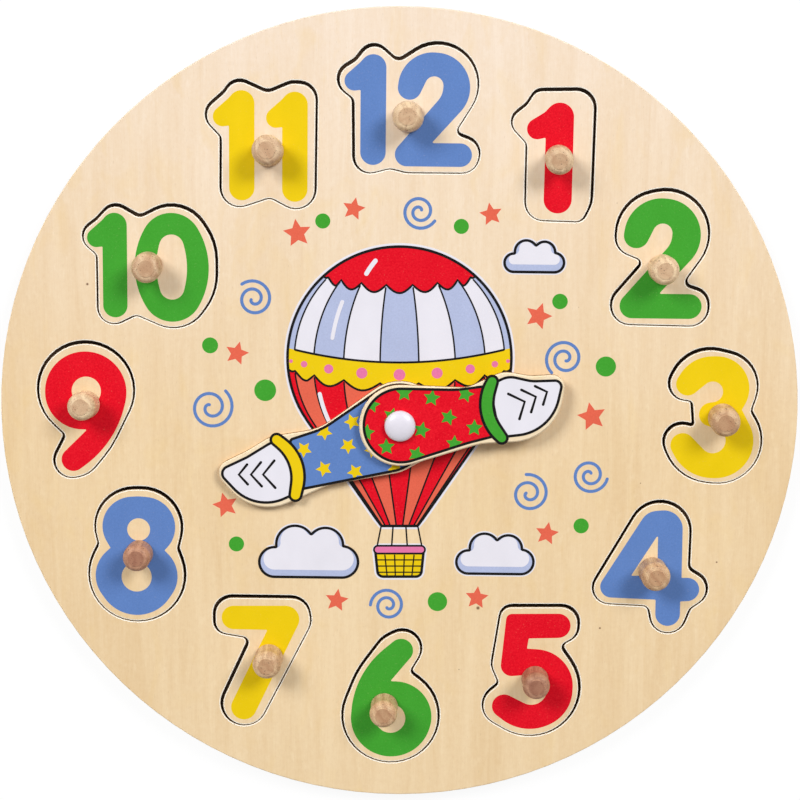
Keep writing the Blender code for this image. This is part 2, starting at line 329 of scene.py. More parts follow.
def sawn_edge(place, low, plies, thick, shaded_kerf):
    """The colour of a sheet's walls, its plies counted up from its lower face."""
    height = axis(place, 2)
    layer = (height - low / MM) / (thick / MM / plies)
    end_grain = layer.math("FLOOR").math("MODULO", 2.0)
    glue = (1 - (layer - layer.math("ROUND")).math("ABSOLUTE") * 14).clamp()
    nap = noise(place, (0.5, 0.5, 0.12), 2)
    toast = (end_grain * 0.45 + (nap - 0.5) * 0.7 + 0.3 + glue * 0.35).clamp()
    wall = toast.mix(PLY_PALE, PLY_DARK)
    if not shaded_kerf:
        return wall
    # Painted shade: below the face and inside the rim, the walls of the narrow cuts are darkened to
    # near black.
    below_face = ((BOARD_TOP / MM + 0.1 - height) / 0.6).clamp()
    kerf_shade_share = inside_rim(place) * below_face * (0.8 + (nap - 0.5) * 0.5)
    return kerf_shade_share.mix(wall, KERF_SHADE)


# %% [markdown]
# One material serves a whole sheet: the normal tells face from edge. Where a face slopes a few
# degrees it was sanded back to fresh pale wood, and it is painted near white as a painted
# highlight along the edge. The back board's upper face is painted dark as painted shade for the
# floor of the narrow cuts; it shows there and where a tile is lifted out.

# %% Mix the plywood finishes
# A near white painted highlight for the sloped sanded band round the edges.
SANDED_HIGHLIGHT = seen(255, 251, 240)


def plywood(
        name, pale, dark, low, plies, thick, middle=(0, 0, 0), angle=0.0, painted_sheen=None,
        shaded_kerf=False, painted_slot_shade=None, knots=()):
    material, inputs, place, normal = new_finish(name)
    grain = turned(place, middle, angle)
    fibres = noise(grain, (0.45, 9, 0.45), 3, 0.6)
    face = veneer(place, grain, fibres, pale, dark, painted_sheen)
    # Painted shade: the back board's upward faces are darkened, standing in for the shade at the
    # floor of the narrow cuts.
    if painted_slot_shade:
        face = (axis(normal, 2) * 4).clamp().mix(face, painted_slot_shade)
    marks = dark_marks(place, grain, knots)
    face = marks.mix(face, MARK_WOOD)
    wall = sawn_edge(place, low, plies, thick, shaded_kerf)
    up = axis(normal, 2).math("ABSOLUTE")
    on_face = ((up - 0.35) * 4).clamp()
    # Painted highlight: the sanded band that slopes a few degrees is painted near white, as a lit
    # edge.
    sanded_and_lit = ((0.995 - up) * 80).clamp() * ((up - 0.9) * 20).clamp() * inside_rim(place)
    feed(on_face.mix(wall, sanded_and_lit.mix(face, SANDED_HIGHLIGHT)), inputs["Base Color"])
    feed(0.5 + (fibres - 0.5) * 0.18 + (1 - on_face) * 0.25, inputs["Roughness"])
    feed(fibres.add("ShaderNodeBump", {}, {
        "Strength": 0.4, "Distance": 0.00003, "Height": fibres * 0.6 - marks}), inputs["Normal"])
    inputs["Specular IOR Level"].default_value = 0.3
    inputs["Coat Weight"].default_value = 0.06
    inputs["Coat Roughness"].default_value = 0.28
    return material


PALE, DARK = seen(246, 220, 179), seen(226, 191, 141)
# A paler, cooler pair for the painted sheen towards the 12.
SHEEN_PALE, SHEEN_DARK = seen(248, 229, 209), seen(235, 207, 174)
KNOTS = (
    (-116.5, 48, 0.5), (76.7, -83.9, 0.4), (120.8, -58.1, 0.35), (30, -76, 0.7), (-60, 101, 0.3))
board_wood = plywood(
    "board_plywood", PALE, DARK, board_low.z, 5, BOARD_THICK,
    painted_sheen=(SHEEN_PALE, SHEEN_DARK), shaded_kerf=True, knots=KNOTS)
back_low, back_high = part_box("back_board")
back_wood = plywood(
    "back_plywood", seen(240, 214, 172), seen(214, 176, 124), back_low.z, 3,
    back_high.z - back_low.z, middle=(0.31, 0.2, 0), painted_slot_shade=seen(110, 82, 57))
hand_woods = {}
for hand, points in (("hour_hand", HOUR_POINTS), ("minute_hand", MINUTE_POINTS)):
    low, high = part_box(hand)
    hand_woods[hand] = plywood(
        hand + "_plywood", seen(250, 232, 200), seen(232, 200, 154), low.z, 3, high.z - low.z,
        middle=PIVOT, angle=points)
print("plywood finishes:", 2 + len(hand_woods))

# %% [markdown]
# ## Sheets with eased edges
# The board, the tiles and the hands are sawn sheets. A real one is sanded after sawing, and the
# thin bright line along its edge is what makes it read as wood and not as a drawing; here that
# line is partly a painted highlight on the sanded band. The frame's mesh is never edited, so a
# copy is joined up and its flat faces are cleaned. Round the cuts the face is inset by a narrow
# band that slopes down a little, and a Bevel modifier takes the corner off wherever a face meets
# a wall.

# %% Copy the sheets and ease them
BOARD_EASE = 0.1 * MM
TILE_EASE = 0.15 * MM
SAND_WIDE = 0.4 * MM
SAND_DEEP = 0.1 * MM
LEVEL_SLACK = 0.01 * MM


def select_only(piece):
    """Deselect everything else and make the piece the active one."""
    bpy.ops.object.select_all(action="DESELECT")
    piece.select_set(True)
    bpy.context.view_layer.objects.active = piece


def in_edit_mode(piece, *steps):
    """Run steps on the whole mesh, each step being an operator and its settings."""
    select_only(piece)
    bpy.ops.object.mode_set(mode="EDIT")
    bpy.ops.mesh.select_all(action="SELECT")
    for operator, settings in steps:
        operator(**settings)
    bpy.ops.object.mode_set(mode="OBJECT")


def sand_face(piece, level):
    """Slope a narrow band round every edge of the face at one level, as sandpaper does."""
    for face in piece.data.polygons:
        face.select = face.normal.z > 0.9 and abs(face.center.z - level) < LEVEL_SLACK
    bpy.ops.object.mode_set(mode="EDIT")
    bpy.ops.mesh.select_mode(type="FACE")
    bpy.ops.transform.translate(value=(0, 0, -SAND_DEEP))
    bpy.ops.mesh.inset(thickness=SAND_WIDE, depth=SAND_DEEP)
    bpy.ops.object.mode_set(mode="OBJECT")


def eased_sheet(node, body, ease, finish, sanded_and_lit=False):
    piece = bpy.data.objects.new(node + "_eased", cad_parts[node].data.copy())
    bpy.context.scene.collection.objects.link(piece)
    in_edit_mode(
        piece,
        (bpy.ops.mesh.remove_doubles, {"threshold": 0.00001}),
        (bpy.ops.mesh.normals_make_consistent, {"inside": False}),
        (bpy.ops.mesh.dissolve_limited, {"angle_limit": math.radians(1)}),
        (bpy.ops.mesh.select_all, {"action": "DESELECT"}))
    if sanded_and_lit:
        sand_face(piece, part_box(node)[1].z)
    bevel = piece.modifiers.new("eased_edge", "BEVEL")
    bevel.limit_method = "ANGLE"
    bevel.angle_limit = math.radians(70)
    bevel.width = ease
    bevel.segments = 1
    bevel.use_clamp_overlap = False
    bpy.ops.object.modifier_apply(modifier=bevel.name)
    bpy.ops.object.shade_smooth_by_angle(angle=math.radians(11))
    piece.data.materials.clear()
    piece.data.materials.append(finish)
    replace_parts(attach(piece, body), node)
    return piece


sheets = [
    eased_sheet("top_board", "board", BOARD_EASE, board_wood, sanded_and_lit=True),
    eased_sheet("back_board", "board", BOARD_EASE, back_wood),
]
for number in range(1, 13):
    sheets.append(eased_sheet(
        f"number_{number}_tile", f"number_{number}", TILE_EASE, board_wood,
        sanded_and_lit=True))
for hand, finish in hand_woods.items():
    sheets.append(eased_sheet(hand, hand, BOARD_EASE, finish))
print("sheets:", len(sheets), "faces:", sum(len(sheet.data.polygons) for sheet in sheets))

# %% [markdown]
# ## Peg wood
# The pegs are turned from a plain brown hardwood. Seen from above they show end grain with rings,
# and down their sides the same rings run out as streaks. Rings about a far-off heart give both at
# once, because the pattern fills space and the peg is cut out of it.

# %% Mix the peg finish
FLECK_WOOD = seen(84, 50, 36)


def peg_finish(name, pale, dark):
    material, inputs, place, normal = new_finish(name)
    sway = noise(place, (9, 9, 60), 2, 0.5, 0.8)
    outwards = axis(place, 0) * 0.72 + axis(place, 1) * 0.45
    rings = (outwards / 1.7 + sway * 7).math("PINGPONG", 1.0)
    fibres = noise(place, (0.35, 0.35, 7), 3, 0.65)
    per_peg = noise(place, (34, 34, 400), 0)
    tone = (rings * 0.48 + (fibres - 0.5) * 1.6 + (per_peg - 0.5) * 1.0 + 0.16).clamp()
    end_grain = ((axis(normal, 2).clamp() - 0.992) * 200).clamp()
    wood = (end_grain * 0.55).mix(tone.mix(pale, dark), dark)
    flecks = ((noise(place, (0.55, 0.55, 1.4), 1, 0.5) - 0.66) * 12).clamp()
    feed((flecks * 0.7).mix(wood, FLECK_WOOD), inputs["Base Color"])
    feed(0.48 + (fibres - 0.5) * 0.25 + end_grain * 0.12, inputs["Roughness"])
    tool_marks = noise(place, (30, 30, 0.45), 1)
    relief = fibres * 0.7 + tool_marks * 0.5 - flecks
    feed(fibres.add("ShaderNodeBump", {}, {
        "Strength": 0.6, "Distance": 0.00005, "Height": relief}), inputs["Normal"])
    inputs["Specular IOR Level"].default_value = 0.3
    inputs["Coat Weight"].default_value = 0.05
    inputs["Coat Roughness"].default_value = 0.35
    return material


peg_woods = [
    peg_finish("pale_peg_wood", seen(244, 216, 176), seen(188, 146, 112)),
    peg_finish("tan_peg_wood", seen(236, 202, 158), seen(172, 124, 90)),
    peg_finish("russet_peg_wood", seen(200, 150, 120), seen(136, 84, 64)),
]
print("peg finishes:", len(peg_woods))

# %% [markdown]
# ## Turned pegs
# A peg starts as a cylinder, as it does on the lathe. Its top corner is rounded off by a wide
# bevel and drawn out taller, with a low step of end grain left standing where the lathe held it.
# Three cuts across it are drawn in for the waist, and the tenon that is glued into the tile is
# drawn out of its foot.

# %% Turn one peg
PAINT_GAP = 0.3 * MM  # left under the pegs and the rivet's head in the CAD model too
PEG_FOOT = BOARD_TOP + PAINT_GAP
PEG_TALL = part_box("number_12_peg")[1].z - PEG_FOOT
PEG_RADIUS = 5.4 * MM
PEG_CROWN = 2.1 * MM
CROWN_STRETCH = 1.6
PEG_STEP = 0.3 * MM
PEG_STEP_RISE = 0.25 * MM
PEG_EASE = 0.4 * MM
TENON_RADIUS = 2.8 * MM
LEAN_ROOM = 0.2 * MM
PEG_SHOULDER = PEG_TALL - PEG_STEP_RISE - LEAN_ROOM
TURNED_TALL = PEG_SHOULDER / CROWN_STRETCH
WAIST = ((2.0 * MM, 0.955), (4.3 * MM, 0.915), (7.2 * MM, 0.965))  # height, drawn in to a share


def select_flat(piece, level):
    """In edit mode, select the edges that lie at one level."""
    bpy.ops.mesh.select_mode(type="EDGE")
    bpy.ops.mesh.select_all(action="DESELECT")
    bpy.ops.object.mode_set(mode="OBJECT")
    points = piece.data.vertices
    for edge in piece.data.edges:
        edge.select = all(abs(points[end].co.z - level) < LEVEL_SLACK for end in edge.vertices)
    bpy.ops.object.mode_set(mode="EDIT")


bpy.ops.object.select_all(action="DESELECT")
bpy.ops.mesh.primitive_cylinder_add(
    vertices=48, radius=PEG_RADIUS, depth=TURNED_TALL, location=(0, 0, TURNED_TALL / 2))
peg = bpy.context.object
bpy.ops.object.transform_apply(location=True)
bpy.ops.object.mode_set(mode="EDIT")
select_flat(peg, TURNED_TALL)
bpy.ops.mesh.bevel(offset=PEG_CROWN, segments=9, profile=0.5, affect="EDGES")
bpy.ops.mesh.select_all(action="SELECT")
bpy.ops.transform.resize(value=(1, 1, CROWN_STRETCH), center_override=(0, 0, 0))
select_flat(peg, 0)
bpy.ops.mesh.bevel(offset=PEG_EASE, segments=2, profile=0.5, affect="EDGES")
for height, share in WAIST:
    bpy.ops.mesh.select_all(action="SELECT")
    bpy.ops.mesh.bisect(plane_co=(0, 0, height), plane_no=(0, 0, 1))
    bpy.ops.transform.resize(value=(share, share, 1), center_override=(0, 0, height))
select_flat(peg, 0)
bpy.ops.mesh.select_mode(type="FACE")
bpy.ops.mesh.inset(thickness=PEG_RADIUS - PEG_EASE - TENON_RADIUS)
bpy.ops.mesh.extrude_region_move(TRANSFORM_OT_translate={"value": (0, 0, -BOARD_THICK)})
select_flat(peg, PEG_SHOULDER)
bpy.ops.mesh.select_mode(type="FACE")
bpy.ops.mesh.inset(thickness=PEG_STEP, depth=PEG_STEP_RISE)
bpy.ops.mesh.select_all(action="SELECT")
bpy.ops.mesh.normals_make_consistent(inside=False)
bpy.ops.object.mode_set(mode="OBJECT")
bpy.ops.object.shade_smooth_by_angle(angle=math.radians(30))
print("peg", round(PEG_TALL / MM, 2), "mm tall, faces:", len(peg.data.polygons))

# %% [markdown]
# Each copy of the peg is a little thicker or thinner and leans its own way, as pegs do that were
# glued in by hand. The leans were measured from the photograph. The peg was turned a little short
# of its CAD height, so that a leaning one doesn't stand above it.

# %% Copy the peg onto each tile
# Which wood a peg is, how thick it is, and how many degrees it leans towards 3 and towards 12
PEG_KINDS = {
    1: (0, 0.96, -2.4, -2.7), 2: (0, 1.0, -1.8, 0.3), 3: (1, 1.02, -2.4, -0.9),
    4: (1, 1.02, 0.2, 0.9), 5: (2, 0.96, -0.9, 0.8), 6: (1, 0.97, -1.8, -0.5),
    7: (1, 1.0, -1.4, 0.0), 8: (2, 0.96, 0.9, 3.4), 9: (0, 0.98, -0.9, 3.6),
    10: (0, 1.02, 3.4, 0.0), 11: (0, 1.05, 0.8, 3.6), 12: (0, 1.05, -2.7, 1.3),
}
PEG_TWIST = 0.9  # radians about its own axis from one peg to the next


def middle_of(node):
    low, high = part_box(node)
    return (low + high) / 2


for number, (kind, girth, right, up) in PEG_KINDS.items():
    node = f"number_{number}_peg"
    copy = bpy.data.objects.new(node + "_turned", peg.data.copy())
    bpy.context.scene.collection.objects.link(copy)
    foot = middle_of(node)
    copy.location = (foot.x, foot.y, PEG_FOOT)
    copy.rotation_mode = "ZYX"
    copy.rotation_euler = (math.radians(-up), math.radians(right), number * PEG_TWIST)
    copy.scale = (girth, girth, 1)
    copy.data.materials.append(peg_woods[kind])
    select_only(copy)
    bpy.ops.object.transform_apply(location=True, rotation=True, scale=True)
    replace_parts(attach(copy, f"number_{number}"), node)
bpy.data.objects.remove(peg)
print("pegs:", len(PEG_KINDS))

# %% [markdown]
# ## Rivet and cap
# The hands turn on a moulded rivet with a low domed head. A sphere is flattened and cut in half
# for the dome, its rim is drawn down a little, and the shank is drawn out below. The finish is a
# cool white plastic with a soft gloss. The cap at the back is right as it is in the frame, so it
# only gets the finish.

# %% Mould the rivet
plastic, plastic_inputs, place, _ = new_finish("white_plastic")
flow = noise(place, (2.5, 2.5, 2.5), 2)
feed(flow.mix(seen(233, 229, 238), seen(226, 221, 232)), plastic_inputs["Base Color"])
feed(0.26 + flow * 0.12, plastic_inputs["Roughness"])
plastic_inputs["Coat Weight"].default_value = 0.2
plastic_inputs["Coat Roughness"].default_value = 0.15

DOME_RADIUS = 5.8 * MM
DOME_RIM = 0.8 * MM
SHANK_RADIUS = 2.5 * MM
RIVET_SEAT = HOUR_TOP + PAINT_GAP
dome_rise = rivet_high.z - RIVET_SEAT - DOME_RIM
bpy.ops.object.select_all(action="DESELECT")
bpy.ops.mesh.primitive_uv_sphere_add(segments=56, ring_count=28, radius=DOME_RADIUS)
rivet = bpy.context.object
rivet.name = "pivot_rivet_moulded"
bpy.ops.object.mode_set(mode="EDIT")
bpy.ops.mesh.select_all(action="SELECT")
bpy.ops.transform.resize(value=(1, 1, dome_rise / DOME_RADIUS))
bpy.ops.mesh.bisect(plane_co=(0, 0, 0), plane_no=(0, 0, 1), clear_inner=True, use_fill=True)
bpy.ops.mesh.select_mode(type="FACE")
bpy.ops.mesh.extrude_region_move(TRANSFORM_OT_translate={"value": (0, 0, -DOME_RIM)})
bpy.ops.mesh.inset(thickness=DOME_RADIUS - SHANK_RADIUS)
bpy.ops.mesh.extrude_region_move(
    TRANSFORM_OT_translate={"value": (0, 0, rivet_low.z - RIVET_SEAT)})
bpy.ops.mesh.select_all(action="SELECT")
bpy.ops.mesh.normals_make_consistent(inside=False)
bpy.ops.object.mode_set(mode="OBJECT")
bpy.ops.object.shade_smooth_by_angle(angle=math.radians(50))
rivet.location = (PIVOT.x, PIVOT.y, RIVET_SEAT + DOME_RIM)
bpy.ops.object.transform_apply(location=True)
rivet.data.materials.append(plastic)
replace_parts(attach(rivet, "board"), "pivot_rivet")
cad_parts["rivet_cap"].data.materials.clear()
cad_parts["rivet_cap"].data.materials.append(plastic)
print("dome rises", round(dome_rise / MM, 2), "mm")

# %% [markdown]
# ## Screen paint
# The colours are screen printed: thick, nearly flat inks that follow the fibres of the wood a
# little and show a fine mottle. Each colour gets its own material from one recipe.

# %% Mix the paints
def screen_paint(name, colour, mottle=1.8):
    material, inputs, place, _ = new_finish(name)
    grit = noise(place, (0.7, 0.7, 0.7), 3, 0.7)
    cloudy = noise(place, (9, 16, 9), 2)
    pinholes = ((noise(place, (0.45, 0.45, 0.45), 0) - 0.76) * 12).clamp()
    light = tuple(part + (1 - part) * 0.009 for part in colour[:3]) + (1,)
    deep = tuple(part * 0.84 for part in colour[:3]) + (1,)
    shade = (0.5 + (grit - 0.5) * mottle + (cloudy - 0.5) * 0.7).clamp()
    feed((pinholes * 0.08).mix(shade.mix(light, deep), PALE), inputs["Base Color"])
    feed(0.46 + (grit - 0.5) * 0.2, inputs["Roughness"])
    fibres = noise(place, (0.45, 9, 0.45), 2)
    relief = fibres * 0.6 + grit * 0.3
    feed(grit.add("ShaderNodeBump", {}, {
        "Strength": 0.4, "Distance": 0.00002, "Height": relief}), inputs["Normal"])
    inputs["Specular IOR Level"].default_value = 0.09
    return material


red = screen_paint("red_paint", seen(240, 4, 34), 3.4)
coral = screen_paint("coral_paint", seen(242, 108, 82))
green = screen_paint("green_paint", seen(67, 169, 48))
yellow = screen_paint("yellow_paint", seen(250, 214, 4), 0.5)
blue = screen_paint("blue_paint", seen(101, 138, 204))
lilac = screen_paint("lilac_paint", seen(190, 200, 234))
white = screen_paint("white_paint", seen(246, 243, 252), 0.2)
pink = screen_paint("pink_paint", seen(242, 126, 178))
black = screen_paint("black_paint", seen(5, 3, 4), 0.3)
print("finishes so far:", len(bpy.data.materials))

# %% [markdown]
# ## Drawing with a belt round pins
# Every printed shape is an outline. A rounded one is drawn as a belt pulled anticlockwise round
# pins, each pin being (x, y, radius) in millimetres. A pin of negative radius pushes the belt
# in from outside and makes a hollow or, if it is tiny, a sharp notch. Moving the whole belt out
# by a spread gives an even border, which is how the black outlines are made.

# %% Define the outlines
BELT_STEP = 0.35
STAR_NOTCH = 0.48


def belt_round(pins, spread=0.0):
    """The outline of a belt pulled anticlockwise round pins, moved out by a spread."""
    touches = []
    for (x, y, r), (next_x, next_y, next_r) in zip(pins, pins[1:] + pins[:1]):
        along = Vector((next_x - x, next_y - y))
        lean = (r - next_r) / along.length
        along.normalize()
        side = Vector((along.y, -along.x))
        touches.append(along * lean + side * math.sqrt(max(0, 1 - lean * lean)))
    points = []
    for (x, y, r), came, goes in zip(pins, touches[-1:] + touches[:-1], touches):
        start = math.atan2(came.y, came.x)
        turn = (math.atan2(goes.y, goes.x) - start) % math.tau
        if r < 0:
            turn -= math.tau
        steps = max(1, math.ceil(abs(turn) * (abs(r) + 1) ** 0.5 / BELT_STEP))
        for step in range(steps + 1):
            angle = start + turn * step / steps
            reach = r + spread
            points.append((x + reach * math.cos(angle), y + reach * math.sin(angle)))
    return points


def circle(x, y, radius, sides=40):
    angles = [math.tau * side / sides for side in range(sides)]
    return [(x + radius * math.cos(angle), y + radius * math.sin(angle)) for angle in angles]


def star(x, y, radius, lean=0.0):
    """A five-pointed star, its first point up and leaning clockwise by some degrees."""
    points = []
    for corner in range(10):
        angle = math.radians(90 - lean) + math.tau * corner / 10
        reach = radius * (STAR_NOTCH if corner % 2 else 1)
        points.append((x + reach * math.cos(angle), y + reach * math.sin(angle)))
    return points


def stroke(path, width):
    """The outline of a line of some width along a path, with round ends."""
    left, right = [], []
    for index, (x, y) in enumerate(path):
        (x0, y0), (x1, y1) = path[max(0, index - 1)], path[min(len(path) - 1, index + 1)]
        ahead = Vector((x1 - x0, y1 - y0)).normalized() * width / 2
        left.append((x - ahead.y, y + ahead.x))
        right.append((x + ahead.y, y - ahead.x))

    def round_end(place, start):
        angles = [start - math.pi * step / 6 for step in range(1, 6)]
        return [
            (place[0] + width / 2 * math.cos(angle), place[1] + width / 2 * math.sin(angle))
            for angle in angles]

    end_angle = math.atan2(left[-1][1] - path[-1][1], left[-1][0] - path[-1][0])
    start_angle = math.atan2(right[0][1] - path[0][1], right[0][0] - path[0][0])
    return left + round_end(path[-1], end_angle) + right[::-1] + round_end(path[0], start_angle)


# %% [markdown]
# ## Laying a film of paint
# A print is a film a few hundredths of a millimetre thick. The outlines become a flat curve,
# filled between its rings, so that a ring inside another is left open. The curve is made a mesh
# before it is turned and set in place. Each further coat lies a little higher, as real ink does.

# %% Define the print
COAT = 0.02 * MM
prints = []


def film(name, rings, low, high, middle=(0, 0), points=0.0):
    """A flat solid between two levels, drawn in mm about its middle and turned clockwise."""
    drawing = bpy.data.curves.new(name, "CURVE")
    drawing.dimensions = "2D"
    drawing.fill_mode = "BOTH"
    drawing.extrude = (high - low) / 2
    for ring in rings:
        line = drawing.splines.new("POLY")
        line.points.add(len(ring) - 1)
        for point, (x, y) in zip(line.points, ring):
            point.co = (x * MM, y * MM, 0, 1)
        line.use_cyclic_u = True
    piece = bpy.data.objects.new(name, drawing)
    bpy.context.scene.collection.objects.link(piece)
    select_only(piece)
    bpy.ops.object.convert(target="MESH")
    in_edit_mode(
        piece,
        (bpy.ops.mesh.remove_doubles, {"threshold": 0.000001}),
        (bpy.ops.mesh.normals_make_consistent, {"inside": False}))
    piece.location = (middle[0], middle[1], (low + high) / 2)
    piece.rotation_euler.z = -points
    bpy.ops.object.transform_apply(location=True, rotation=True)
    return piece


def printed(name, rings, body, surface, paint, coat=1, middle=(0, 0), points=0.0, inside=None):
    piece = film(name, rings, surface, surface + COAT * coat, middle, points)
    if inside:
        cutter = film("cutter", inside, surface - MM, surface + MM, middle, points)
        crop = piece.modifiers.new("crop", "BOOLEAN")
        crop.operation = "INTERSECT"
        crop.solver = "EXACT"
        crop.object = cutter
        select_only(piece)
        bpy.ops.object.modifier_apply(modifier=crop.name)
        bpy.data.objects.remove(cutter)
    piece.data.materials.clear()
    piece.data.materials.append(paint)
    prints.append(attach(piece, body))
    return piece


# %% [markdown]
# ## The numerals
# The numerals are rounded and bold, in red, green, yellow and blue by turns. Each is drawn once
# with its own pins. The two-figure numbers share one slimmer 1, and the 12 has the 2 again, both
# moved and some slightly scaled. The bowls of the 4, 6, 8, 9 and 0 are rings inside the outline.

# %% Draw and print the numerals
def moved(pins, x, y, scale=1.0):
    return [(pin_x * scale + x, pin_y * scale + y, r * scale) for pin_x, pin_y, r in pins]


BROAD_ONE = [
    (58.7, 79.5, 5.2), (59.2, 109.8, 5.2), (51.6, 114.0, -3.2), (50.9, 105.4, 3.8),
    (53.6, 101.7, -0.4)]
ONE = [(0, 0, 4.7), (0.2, 30.9, 4.8), (-6.8, 35.1, -3.2), (-6.8, 26.1, 3.6), (-4.8, 22.4, -0.3)]
TWO = [
    (4.7, 4.9, 4.7), (26.0, 4.6, 4.65), (15.4, 9.7, -0.35), (16.1, 31.1, 13.7), (15.0, 31.2, 13.7),
    (5.9, 31.1, 4.7), (15.6, 31.9, -3.65), (11.1, 31.5, -8.1)]
THREE = [
    (118.6, -8.7, 16.9), (119.6, -11.6, 14.0), (129.3, 0.6, -0.3), (119.2, 8.5, 12.4),
    (117.5, 6.9, 14.0), (108.4, 10.4, 4.4), (117.8, 7.4, -3.9), (117.4, -1.2, 4.55),
    (118.3, -11.2, -4.8), (106.9, -12.9, 4.6)]
FOUR = [
    (80.9, -67.6, 4.3), (97.4, -73.1, -0.4), (102.5, -78.3, 4.7), (107.6, -73.8, -0.4),
    (109.8, -68.75, 4.55), (107.9, -63.9, -0.35), (100.3, -45.3, 7.3), (97.9, -44.9, 6.7)]
FOUR_BOWL = [(98.0, -63.1, 0.3), (98.0, -48.5, 0.3), (88.8, -63.1, 0.3)]
FIVE = [
    (50.2, -106.9, 16.9), (51.5, -108.4, 15.0), (51.9, -106.9, 14.7), (49.2, -91.7, -0.3),
    (49.8, -88.3, -0.35), (60.7, -83.0, 4.75), (43.1, -80.6, 2.3), (43.1, -98.6, 4.2),
    (50.7, -108.2, -6.0), (40.2, -114.7, 4.6)]
SIX = [
    (-3.3, -119.4, 15.4), (-1.8, -119.0, 14.1), (-2.9, -104.55, -0.3), (0.6, -92.7, 4.6),
    (16.6, -119.2, 35.2)]
SEVEN = [(-59.9, -115.1, 4.9), (-43.6, -80.4, 5.3), (-63.4, -79.7, 4.6), (-51.1, -84.9, -0.35)]
EIGHT = [
    (-100.2, -63.9, 14.8), (-97.0, -63.5, 12.4), (-89.0, -53.5, -0.3), (-96.8, -44.4, 11.6),
    (-99.0, -45.0, 12.4), (-101.2, -44.3, 11.6), (-110.3, -52.4, -0.3), (-103.2, -63.4, 12.6)]
NINE = [
    (-123.3, -18.4, 4.4), (-142.7, 12.0, 40.4), (-118.0, 7.4, 15.3), (-119.5, 6.9, 13.8),
    (-118.5, -7.2, -0.3)]
ZERO = [(-84.9, 45.2, 11.3), (-99.8, 54.2, 28.7), (-84.9, 63.2, 11.3), (-70.0, 54.2, 28.7)]
ZERO_BOWL = [(-84.9, 46.8, 4.6), (-110.1, 54.35, 30.9), (-84.9, 61.9, 4.6), (-59.7, 54.35, 30.9)]

NUMERALS = {
    1: (red, [belt_round(BROAD_ONE)]),
    2: (green, [belt_round(moved(TWO, 82.3, 35.0))]),
    3: (yellow, [belt_round(THREE)]),
    4: (blue, [belt_round(FOUR), belt_round(FOUR_BOWL)]),
    5: (red, [belt_round(FIVE)]),
    6: (green, [belt_round(SIX), circle(-3.5, -119.6, 5.75)]),
    7: (yellow, [belt_round(SEVEN)]),
    8: (blue, [belt_round(EIGHT), circle(-99.1, -45.4, 4.35), circle(-100.2, -63.8, 5.75)]),
    9: (red, [belt_round(NINE), circle(-117.8, 7.7, 5.5)]),
    10: (green, [
        belt_round(moved(ONE, -106.2, 40.1, 0.965)), belt_round(ZERO), belt_round(ZERO_BOWL)]),
    11: (yellow, [belt_round(moved(ONE, -58.45, 83.85)), belt_round(moved(ONE, -38.8, 83.3))]),
    12: (blue, [belt_round(moved(ONE, -9.8, 96.9)), belt_round(moved(TWO, -1.7, 91.5, 0.93))]),
}
for number, (paint, rings) in NUMERALS.items():
    printed(f"numeral_{number}", rings, f"number_{number}", BOARD_TOP, paint)
print("numerals:", len(NUMERALS))

# %% [markdown]
# ## Confetti
# Between the numbers and the middle the board is strewn with plain party shapes: coral stars,
# green dots and blue curls. A curl is a spiral path with a line of even width drawn along it.

# %% Print the confetti
CURL_WIDE = 1.2


def curl(x, y, radius, starts, turns=1.8, steps=56):
    path = []
    for step in range(steps + 1):
        share = step / steps
        angle = math.radians(starts) + math.tau * turns * share
        reach = radius * (0.14 + 0.86 * share ** 0.85)
        path.append((x + reach * math.cos(angle), y + reach * math.sin(angle)))
    return stroke(path, CURL_WIDE)


STARS = (
    (-17, 76, 4.4, 12), (-38, 67, 5.4, -8), (-61, 22, 4.6, 15), (72.5, -2, 5.6, -12),
    (56, -47, 4.6, 10), (-66, -36, 5.0, -14), (29.5, -72, 4.6, 6), (52, 36, 5.2, 18),
    (34, 74, 4.4, -10), (-24, -73, 4.6, 9))
DOTS = (
    (-28.5, 71.5, 2.8), (23, 69.5, 2.8), (-71, 25, 3.0), (77.5, 17, 3.8), (-50.5, 8, 4.1),
    (-62, -51, 2.9), (14.5, -73.5, 3.7), (69, -44, 2.9), (60, 41.5, 2.9))
CURLS = (
    (7.5, 75, 6.6, 40), (-54.5, 42.5, 7.0, 200), (-71, 1.5, 8.4, 120), (62, 20, 7.2, 300),
    (72, -24.5, 6.8, 60), (49, -31.5, 7.4, 170), (-4.5, -75, 6.6, 250))
printed("confetti_stars", [star(*place) for place in STARS], "board", BOARD_TOP, coral)
printed("confetti_dots", [circle(*place) for place in DOTS], "board", BOARD_TOP, green)
printed("confetti_curls", [curl(*place) for place in CURLS], "board", BOARD_TOP, blue)
print("confetti:", len(STARS) + len(DOTS) + len(CURLS))

# %% [markdown]
# ## The balloon in the middle
# The middle carries a picture in the same colours as the numerals: a hot-air balloon. A round
# skin is easiest to draw by latitude and by share of its width. One function turns such a pair
# into a point, bowed like the seams of a real balloon, and every patch and seam is then a call.

# %% Work out the balloon's skin
SKIN_RADIUS = 42
SKIN_MIDDLE = 20
MOUTH_WIDE = 7
MOUTH_LEVEL = -44
SKIN_TOP = SKIN_MIDDLE + SKIN_RADIUS
SKIN_SAG = 5.5
fall = SKIN_MIDDLE - MOUTH_LEVEL
TAPER = math.asin(SKIN_RADIUS / math.hypot(fall, MOUTH_WIDE)) - math.atan2(MOUTH_WIDE, fall)
TAPER_LEVEL = SKIN_MIDDLE - SKIN_RADIUS * math.sin(TAPER)


def half_width(level):
    if level > TAPER_LEVEL:
        return math.sqrt(max(0, SKIN_RADIUS ** 2 - (level - SKIN_MIDDLE) ** 2))
    return MOUTH_WIDE + (level - MOUTH_LEVEL) * math.tan(TAPER)


